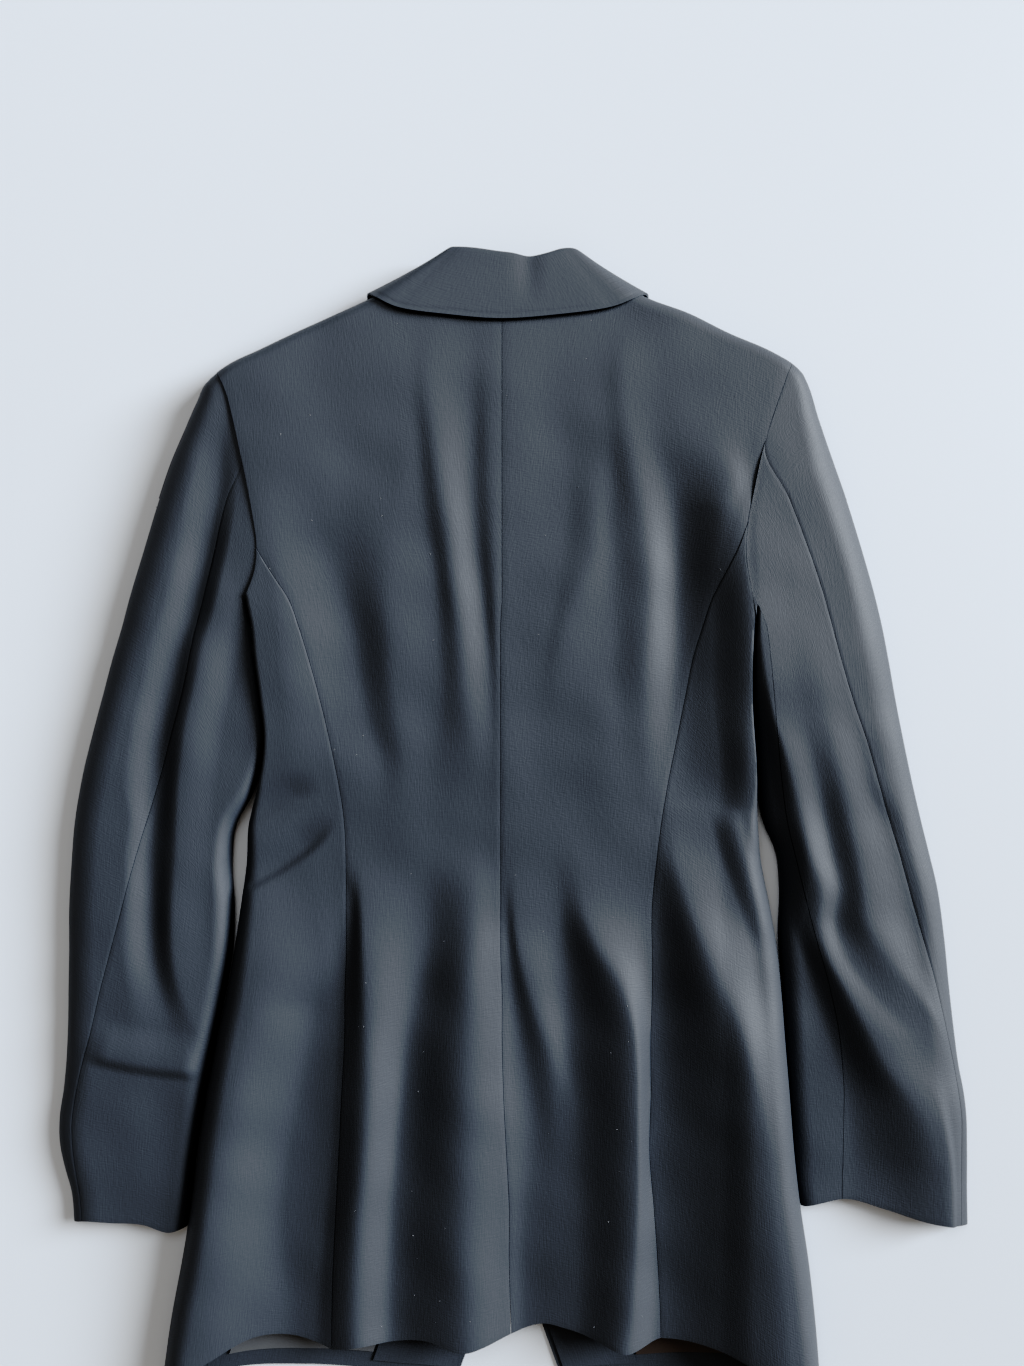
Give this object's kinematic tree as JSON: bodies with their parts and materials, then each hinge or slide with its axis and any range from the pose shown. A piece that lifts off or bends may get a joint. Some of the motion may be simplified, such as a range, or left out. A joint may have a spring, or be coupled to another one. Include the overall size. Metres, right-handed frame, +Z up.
{
  "type": "fitted blazer laid flat",
  "caption": "Long fitted blazer laid face down: flared skirt with soft folds, two-piece sleeves with cuff vents, notched lapels and a collar turned down at the back.",
  "frame": {"origin": "middle of the outline, on the surface that the blazer lies on", "axes": "+X across the garment towards its right sleeve, +Y up its length towards the collar, +Z up off the surface, out of its back"},
  "size_m": [0.6508, 0.8107, 0.034],
  "materials": {
    "black_wool": "dull, faintly lit on its folds",
    "grey_lining": "satin",
    "brown_lining": "satin",
    "black_button": "gloss"
  },
  "bodies": {
    "root": {"back_left": "black_wool", "back_right": "black_wool", "side_left": "black_wool", "side_right": "black_wool", "front_left": "black_wool", "front_right": "black_wool", "top_sleeve_left": "black_wool", "top_sleeve_right": "black_wool", "under_sleeve_left": "black_wool", "under_sleeve_right": "black_wool", "lapel_left": "black_wool", "lapel_right": "black_wool", "collar": "black_wool", "facing_left": "black_wool", "facing_right": "black_wool", "lining_left": "grey_lining", "lining_right": "brown_lining", "button": "black_button"}
  },
  "joints": []
}
